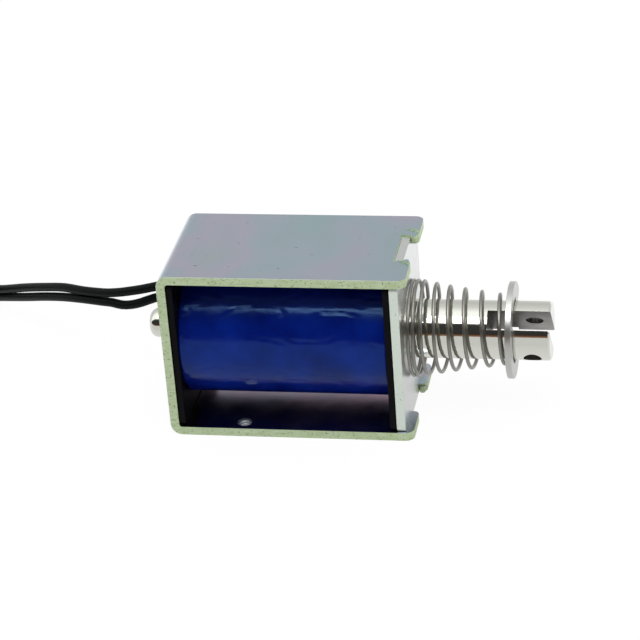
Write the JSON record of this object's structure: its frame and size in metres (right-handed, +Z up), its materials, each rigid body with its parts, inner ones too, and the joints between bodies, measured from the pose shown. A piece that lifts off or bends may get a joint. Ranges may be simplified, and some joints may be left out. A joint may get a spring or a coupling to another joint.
{
  "type": "push pull solenoid",
  "caption": "Open frame linear solenoid: a C shaped steel frame holds a taped coil; a spring-returned plunger with a clevis end and a push rod slides through it.",
  "frame": {"origin": "centre of the base, the underside of the lower frame flange", "axes": "+X along the plunger towards its clevis, +Z up out of the base, +Y towards the side that the leads leave from"},
  "size_m": [0.1335, 0.0561, 0.03],
  "materials": {
    "frame_steel": "zinc plated, smooth",
    "plate_steel": "zinc plated, smooth",
    "black_nylon": "moulded, satin",
    "enamelled_copper": "wound enamelled wire",
    "amber_film": "thin film",
    "solder": "tinned",
    "blue_tape": "polyester tape, slightly wrinkled",
    "brass": "drawn",
    "core_steel": "turned",
    "bright_steel": "ground and nickel plated",
    "clip_steel": "pressed spring steel",
    "spring_wire": "drawn spring wire",
    "black_insulation": "smooth insulation"
  },
  "bodies": {
    "housing": {"frame_bracket": "frame_steel", "front_plate": "plate_steel", "bobbin": "black_nylon", "copper_winding": "enamelled_copper", "splice_pad": "amber_film", "splice_upper": "solder", "splice_lower": "solder", "winding_tape": "blue_tape", "guide_tube": "brass", "pole_core": "core_steel", "pole_shim": "brass", "return_spring": "spring_wire", "lead_upper": "black_insulation", "lead_lower": "black_insulation", "lead_coil": "black_insulation", "lead_end_upper": "solder", "lead_end_lower": "solder"},
    "clip_carrier": {"retaining_clip": "clip_steel"},
    "plunger_and_rod": {"plunger": "bright_steel", "push_rod": "bright_steel"}
  },
  "joints": [
    {"name": "plunger_slide", "type": "slide", "parent": "housing", "child": "clip_carrier", "axis": [1, 0, 0], "range_m": [-0.01, 0], "stiffness_N_per_m": 95, "deforming": ["return_spring"]},
    {"name": "plunger_turn", "type": "hinge", "parent": "clip_carrier", "child": "plunger_and_rod", "pos_m": [0, 0, 0.015], "axis": [1, 0, 0], "continuous": true}
  ]
}
